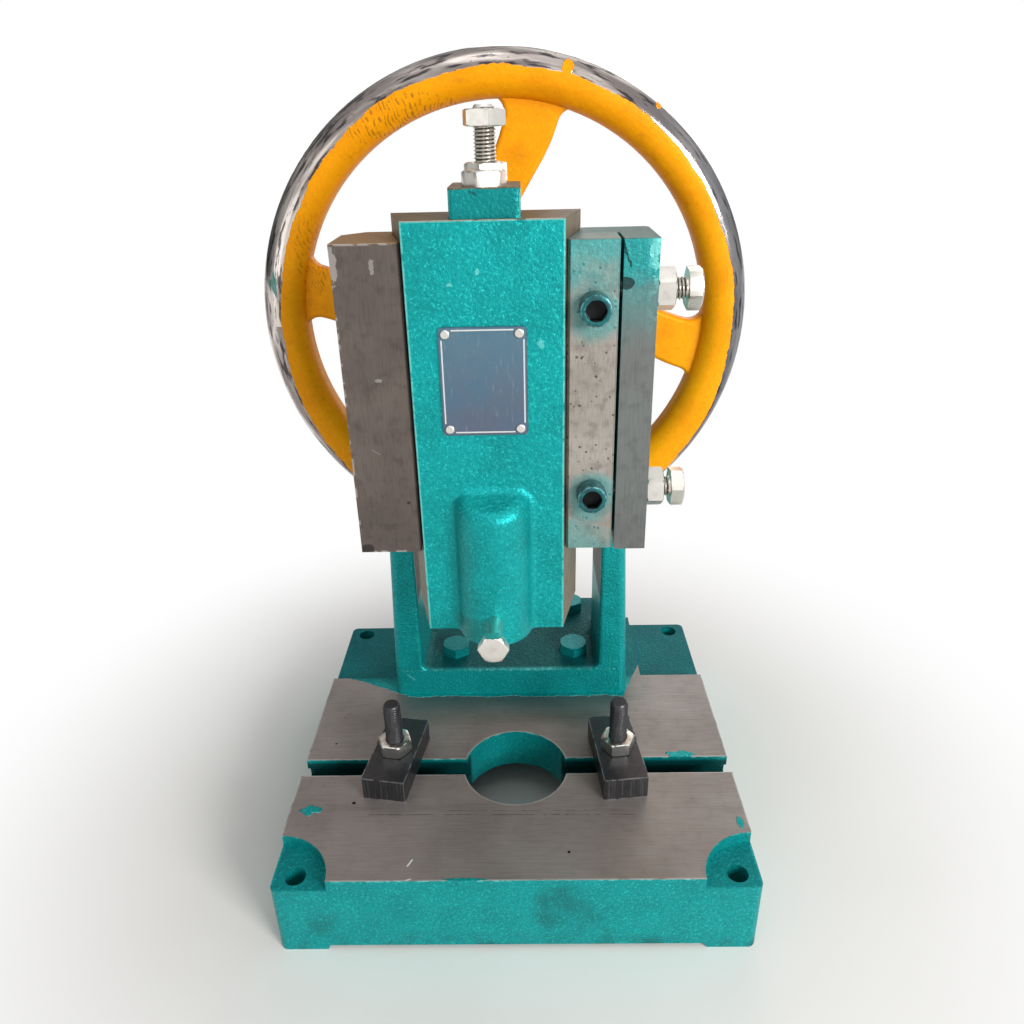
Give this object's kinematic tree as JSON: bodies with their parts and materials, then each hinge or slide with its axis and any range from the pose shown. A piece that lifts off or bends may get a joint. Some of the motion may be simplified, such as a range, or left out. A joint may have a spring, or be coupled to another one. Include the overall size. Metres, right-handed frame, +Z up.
{
  "type": "flywheel punch press",
  "caption": "Small bench punch press: an overhung crank and flywheel drive a gibbed slide with a punch-holder bore over a slotted table with a scrap hole.",
  "frame": {"origin": "centre of the four bench bolt holes, on the underside of the feet", "axes": "+Z up, -Y to the operator in front, +X to the operator's right"},
  "size_m": [0.297, 0.2705, 0.4295],
  "materials": {
    "base_enamel": "hammered enamel with a ground bare table",
    "frame_enamel": "hammered enamel, machined ways bare",
    "gib_enamel": "overspray fading to bare ground steel",
    "slide_enamel": "hammered enamel with bare sides",
    "cap_enamel": "enamel front, bare brown top",
    "bolt_enamel": "painted over with the casting",
    "wheel_enamel": "orange-yellow enamel with a polished rim",
    "plate_enamel": "slate-blue plate, bare of words",
    "dark_steel": "dark blackened",
    "zinc_steel": "bright zinc",
    "bare_steel": "machined and oiled",
    "black_steel": "black oxide",
    "bronze": "oiled bearing bronze"
  },
  "bodies": {
    "frame": {"base_plate": "base_enamel", "column_frame": "frame_enamel", "gib_plate": "gib_enamel", "gib_cap_screws": "dark_steel", "gib_adjusting_bolts": "zinc_steel", "gib_lock_nuts": "zinc_steel", "frame_bolts": "bolt_enamel", "front_bush": "bronze", "rear_bush": "bronze"},
    "crank": {"crankshaft": "bare_steel", "flywheel": "wheel_enamel", "flywheel_key": "bare_steel", "shaft_washer": "zinc_steel", "shaft_nut": "zinc_steel"},
    "slide": {"slide_body": "slide_enamel", "slide_yoke": "bare_steel", "cap_block": "cap_enamel", "cap_bolt": "zinc_steel", "adjusting_stud": "zinc_steel", "stud_lock_nut": "zinc_steel", "stud_top_nut": "zinc_steel", "punch_lock_screw": "zinc_steel", "name_plate": "plate_enamel", "plate_rivets": "zinc_steel"},
    "crank_block": {"crank_block": "bronze"},
    "left_clamp": {"clamp_strap_left": "black_steel", "clamp_bolt_left": "black_steel", "clamp_nut_left": "zinc_steel"},
    "right_clamp": {"clamp_strap_right": "black_steel", "clamp_bolt_right": "black_steel", "clamp_nut_right": "zinc_steel"}
  },
  "joints": [
    {"name": "crank", "type": "hinge", "parent": "frame", "child": "crank", "pos_m": [-0.0035, 0.109, 0.281], "axis": [0, 1, 0], "range_deg": [0, 180]},
    {"name": "slide_stroke", "type": "slide", "parent": "frame", "child": "slide", "axis": [0, 0, -1], "range_m": [0, 0.042]},
    {"name": "crank_block_pivot", "type": "hinge", "parent": "crank", "child": "crank_block", "pos_m": [-0.0035, -0.023, 0.302], "axis": [0, 1, 0], "range_deg": [-180, 0]},
    {"name": "left_clamp_slide", "type": "slide", "parent": "frame", "child": "left_clamp", "axis": [1, 0, 0], "range_m": [-0.03, 0.03]},
    {"name": "right_clamp_slide", "type": "slide", "parent": "frame", "child": "right_clamp", "axis": [1, 0, 0], "range_m": [-0.03, 0.04]}
  ],
  "couplings": [
    {"joint": "slide_stroke", "follows": "crank", "m_per_rad": 0.013369},
    {"joint": "crank_block_pivot", "follows": "crank", "ratio": -0.99999}
  ]
}
